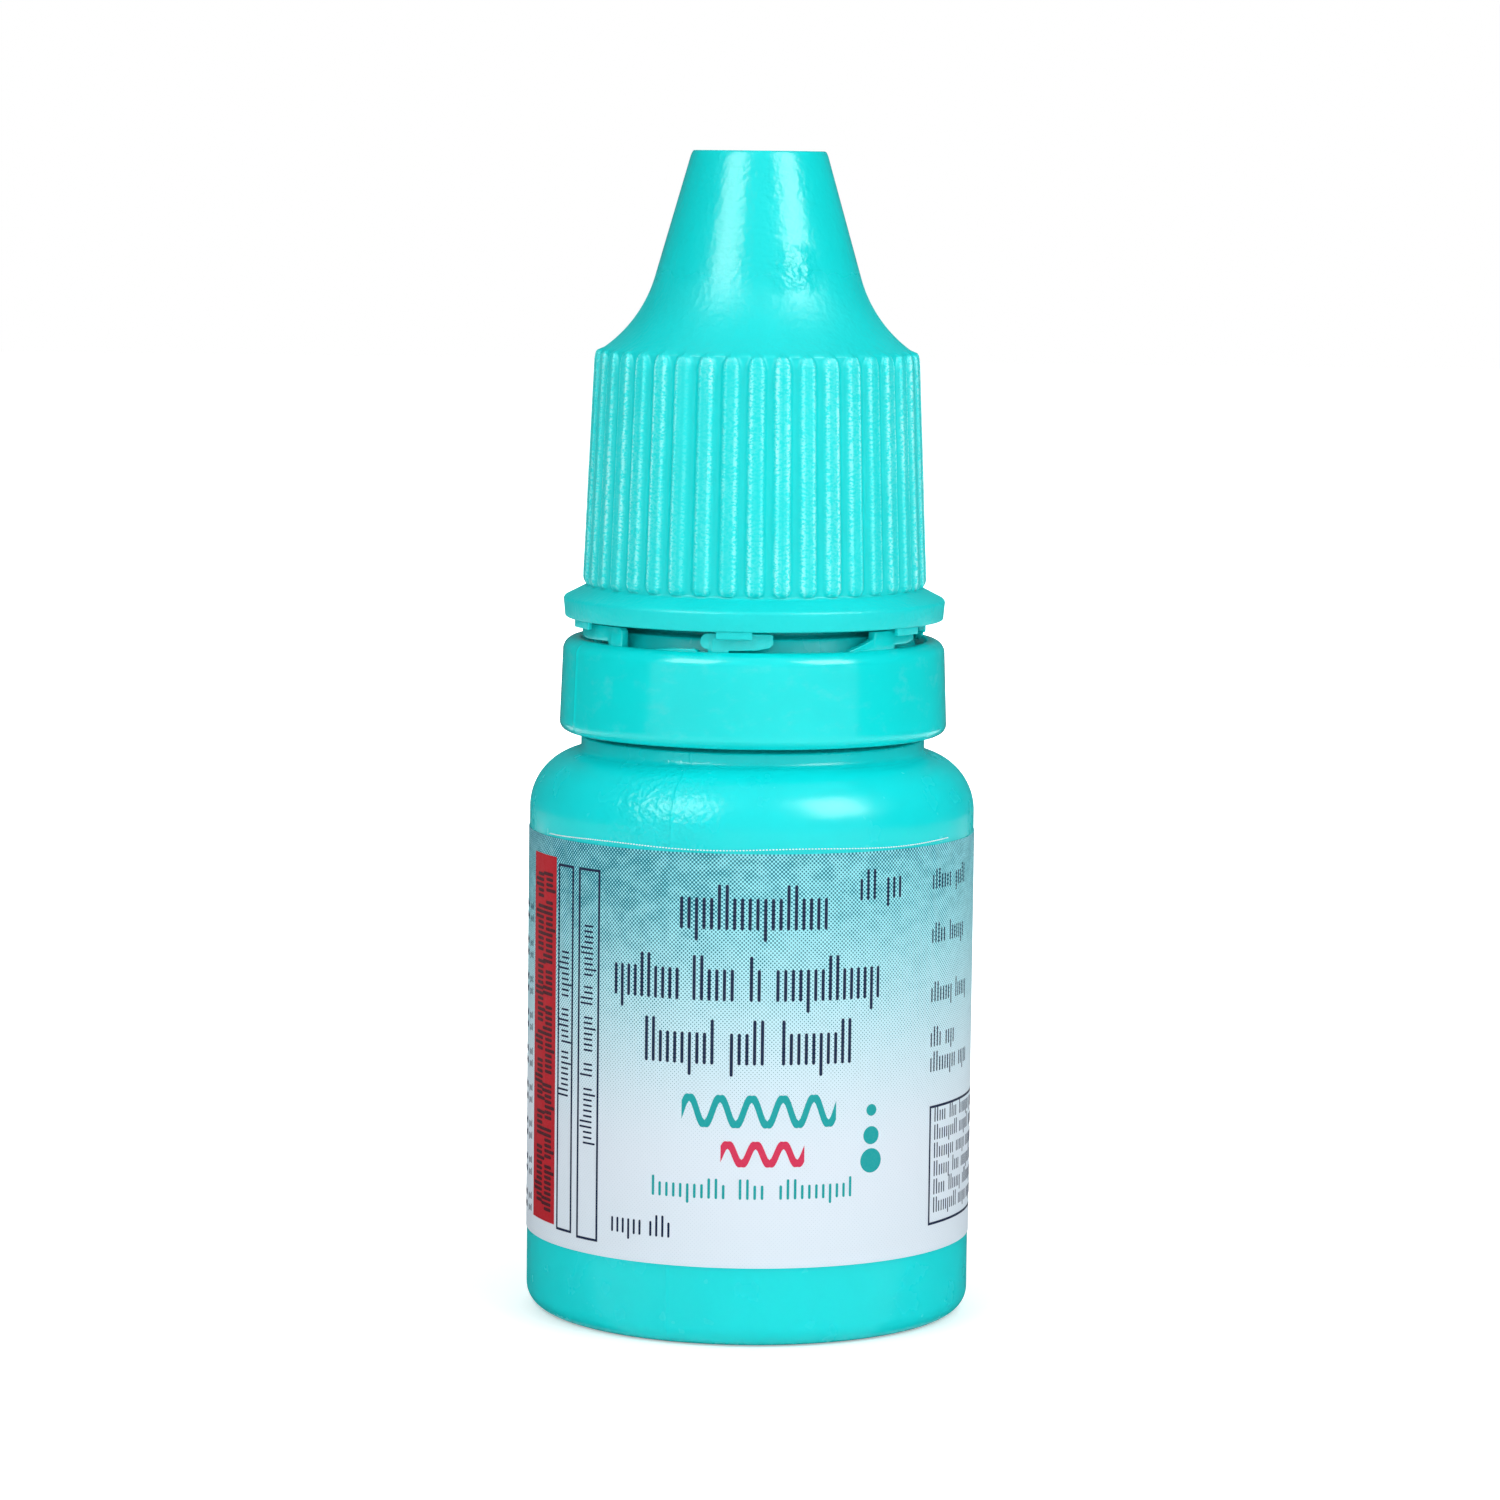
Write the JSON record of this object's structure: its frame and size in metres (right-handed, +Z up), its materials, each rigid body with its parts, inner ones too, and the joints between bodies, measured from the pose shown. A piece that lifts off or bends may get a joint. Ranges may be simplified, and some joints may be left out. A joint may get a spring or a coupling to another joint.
{
  "type": "eye drop bottle",
  "caption": "Hollow squeeze bottle with a drip nozzle, a wrapped label, a loose seal ring and a ribbed cap that turns and lifts off.",
  "frame": {"origin": "middle of the foot, on the surface that the bottle stands on", "axes": "+Z up along the bottle's axis; -Y is the front of the label and +X is to its right"},
  "size_m": [0.025, 0.025, 0.0651],
  "materials": {
    "squeeze_plastic": "satin",
    "cap_plastic": "semi-gloss, with eroded texture on the ribs",
    "nozzle_plastic": "milky",
    "label_film": "printed film"
  },
  "bodies": {
    "bottle": {"bottle": "squeeze_plastic", "dropper_nozzle": "nozzle_plastic", "label": "label_film"},
    "ring": {"tamper_ring": "cap_plastic"},
    "cap": {"screw_cap": "cap_plastic"}
  },
  "joints": [
    {"name": "cap_turn", "type": "hinge", "parent": "bottle", "child": "ring", "pos_m": [0, 0, 0.0327], "axis": [0, 0, 1], "range_deg": [0, 450]},
    {"name": "cap_lift", "type": "slide", "parent": "ring", "child": "cap", "axis": [0, 0, 1], "range_m": [0, 0.026]}
  ]
}
